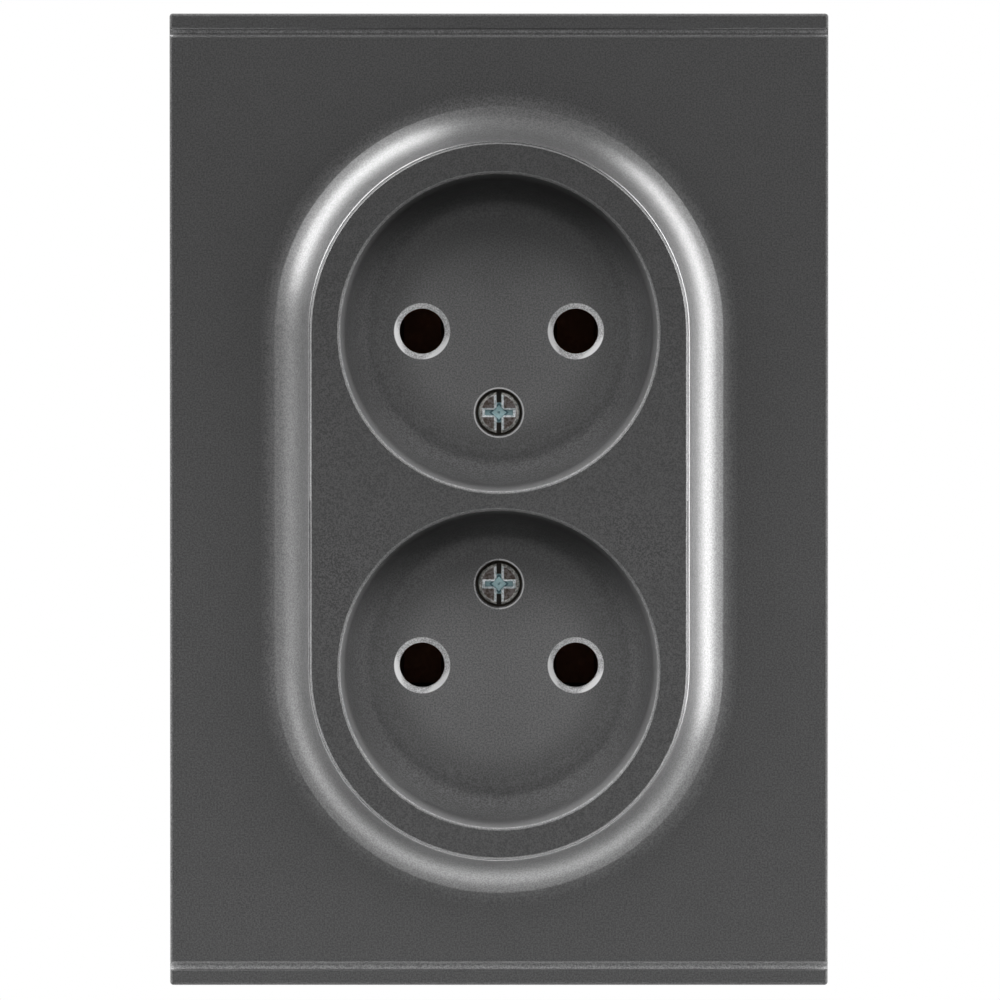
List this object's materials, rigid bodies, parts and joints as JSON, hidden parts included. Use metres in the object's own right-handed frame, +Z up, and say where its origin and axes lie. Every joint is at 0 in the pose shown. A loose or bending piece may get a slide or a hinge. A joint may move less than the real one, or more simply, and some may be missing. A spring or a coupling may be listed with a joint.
{
  "type": "double wall socket",
  "caption": "Double wall socket for round two-pin plugs: dark frame with a raised oval insert and round wells, on a steel plate with a contact housing and spreading claws.",
  "frame": {"origin": "centre of the wall box and of the box-screw pattern, on the wall's surface", "axes": "+X to the right as the socket is seen, +Y into the wall, +Z up; the front faces -Y"},
  "size_m": [0.081, 0.0414, 0.1196],
  "materials": {
    "graphite_frame": "graphite paint with fine metal flakes",
    "graphite_insert": "graphite paint with fine metal flakes",
    "black_moulding": "black heat-proof moulding, lightly textured",
    "plate_steel": "zinc-plated sheet",
    "zinc_steel": "zinc-plated pressing",
    "zinc_screw": "blue-white zinc plating",
    "rivet_steel": "plain steel",
    "spring_steel": "spring steel",
    "contact_brass": "stamped brass"
  },
  "bodies": {
    "socket": {"cover_frame": "graphite_frame", "socket_insert": "graphite_insert", "cover_screws": "zinc_screw", "cover_screw_nuts": "zinc_steel", "support_plate": "plate_steel", "contact_housing": "black_moulding", "contact_cover": "black_moulding", "housing_rivets": "rivet_steel", "terminal_screws": "zinc_screw", "left_contact_bar": "contact_brass", "right_contact_bar": "contact_brass", "upper_left_contact_spring": "spring_steel", "upper_left_terminal_clamp": "zinc_steel", "upper_right_contact_spring": "spring_steel", "upper_right_terminal_clamp": "zinc_steel", "lower_left_contact_spring": "spring_steel", "lower_left_terminal_clamp": "zinc_steel", "lower_right_contact_spring": "spring_steel", "lower_right_terminal_clamp": "zinc_steel"},
    "left_claw_arm": {"left_claw": "zinc_steel", "left_claw_screw": "zinc_screw"},
    "right_claw_arm": {"right_claw": "zinc_steel", "right_claw_screw": "zinc_screw"}
  },
  "joints": [
    {"name": "left_claw_tilt", "type": "hinge", "parent": "socket", "child": "left_claw_arm", "pos_m": [-0.019, -0.0005, 0], "axis": [0, 0, 1], "range_deg": [0, 20]},
    {"name": "right_claw_tilt", "type": "hinge", "parent": "socket", "child": "right_claw_arm", "pos_m": [0.019, -0.0005, 0], "axis": [0, 0, -1], "range_deg": [0, 20]}
  ]
}
